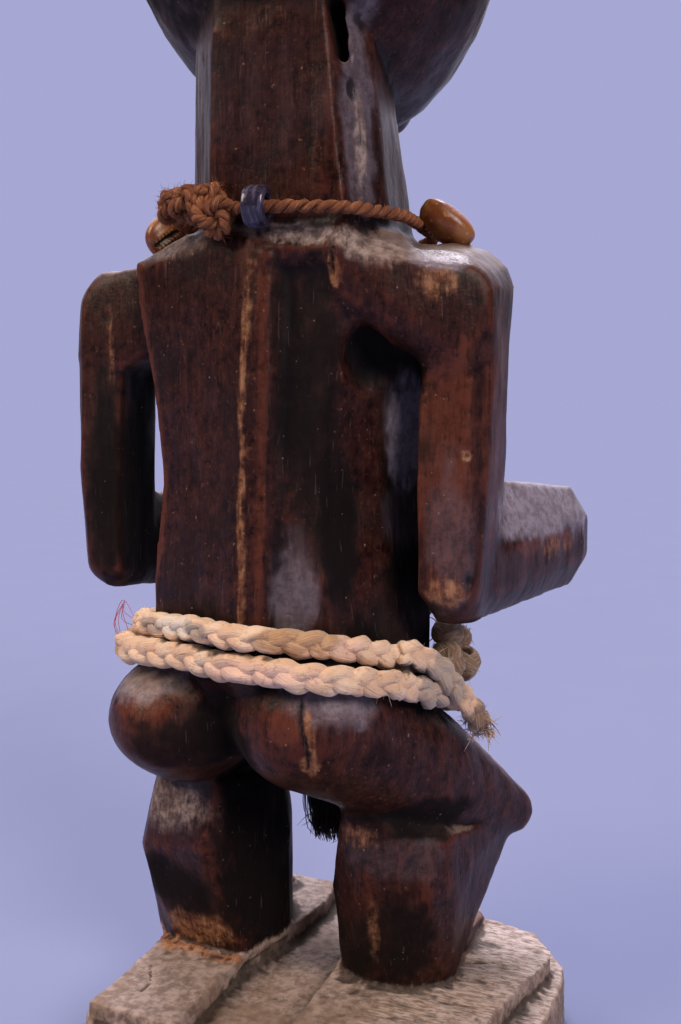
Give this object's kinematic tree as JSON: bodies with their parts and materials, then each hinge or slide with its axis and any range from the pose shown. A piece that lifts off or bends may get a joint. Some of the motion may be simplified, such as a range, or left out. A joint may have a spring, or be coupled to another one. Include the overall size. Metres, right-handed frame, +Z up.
{
  "type": "songye power figure",
  "caption": "Standing carved wood figure with a large round head on a thick neck, hands on a swollen belly, bent legs on a slab base, plaited hip belt and shell necklace.",
  "frame": {"origin": "on the underside of the plinth, straight below the middle of the neck's foot", "axes": "+Z up; the figure faces -Y, so its back is towards +Y and its own left side towards +X"},
  "size_m": [0.1605, 0.1438, 0.4443],
  "materials": {
    "dark_wood": "dark handled hardwood, worn satin",
    "twisted_fibre": "two-ply twisted plant fibre, soiled",
    "bead_glass": "opaque dark blue wound glass, glossy",
    "cowrie_shell": "opaque cowrie shell stained orange-brown, glossy",
    "plaited_cloth": "plaited strips of undyed cotton cloth, soiled",
    "dark_fibre": "tuft of dark hair-like fibre, matt"
  },
  "bodies": {
    "root": {"figure": "dark_wood", "necklace_cord": "twisted_fibre", "bead": "bead_glass", "cowrie_1": "cowrie_shell", "cowrie_2": "cowrie_shell", "cowrie_3": "cowrie_shell", "cowrie_4": "cowrie_shell", "cowrie_5": "cowrie_shell", "cowrie_6": "cowrie_shell", "cowrie_7": "cowrie_shell", "cowrie_8": "cowrie_shell", "belt_rope": "plaited_cloth", "fur_tuft": "dark_fibre"}
  },
  "joints": []
}
